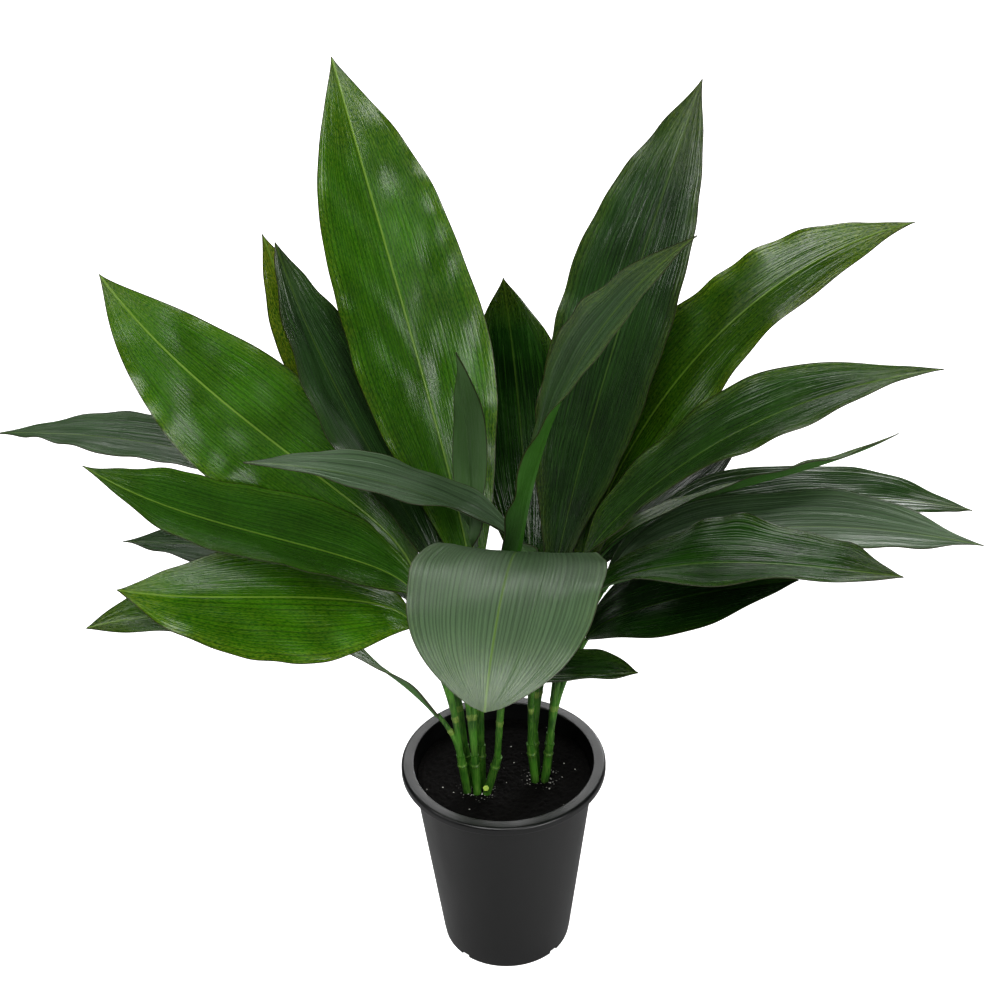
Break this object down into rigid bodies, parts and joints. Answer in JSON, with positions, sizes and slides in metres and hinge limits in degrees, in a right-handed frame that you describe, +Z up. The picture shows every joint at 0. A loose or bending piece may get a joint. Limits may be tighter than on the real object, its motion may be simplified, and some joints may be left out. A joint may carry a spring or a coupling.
{
  "type": "potted cast iron plant",
  "caption": "Bushy foliage plant with long pointed glossy leaves on ringed canes, standing in dark soil in a tapered round nursery pot with a rolled rim.",
  "frame": {"origin": "centre of the pot's flat underside, on the surface it stands on", "axes": "+Z up; +X to the plant's right and -Y towards the front, where the drooping front leaf hangs"},
  "size_m": [0.8005, 0.5491, 0.7518],
  "materials": {
    "pot_plastic": "satin moulded black",
    "peat": "fine dark peat with pale specks",
    "stem_green": "satin mid green",
    "leaf_green": "glossy dark green with parallel veins"
  },
  "bodies": {
    "root": {"pot": "pot_plastic", "potting_soil": "peat", "stem_a": "stem_green", "stem_b": "stem_green", "stem_c": "stem_green", "stem_d": "stem_green", "stem_e": "stem_green", "stem_f": "stem_green", "stem_g": "stem_green", "stem_h": "stem_green", "stem_i": "stem_green", "leaf_01": "leaf_green", "leaf_02": "leaf_green", "leaf_03": "leaf_green", "leaf_04": "leaf_green", "leaf_05": "leaf_green", "leaf_06": "leaf_green", "leaf_07": "leaf_green", "leaf_08": "leaf_green", "leaf_09": "leaf_green", "leaf_10": "leaf_green", "leaf_11": "leaf_green", "leaf_12": "leaf_green", "leaf_13": "leaf_green", "leaf_14": "leaf_green", "leaf_15": "leaf_green", "leaf_16": "leaf_green", "leaf_17": "leaf_green", "leaf_18": "leaf_green", "leaf_19": "leaf_green", "leaf_20": "leaf_green", "leaf_21": "leaf_green", "leaf_22": "leaf_green", "leaf_23": "leaf_green", "leaf_24": "leaf_green"}
  },
  "joints": []
}
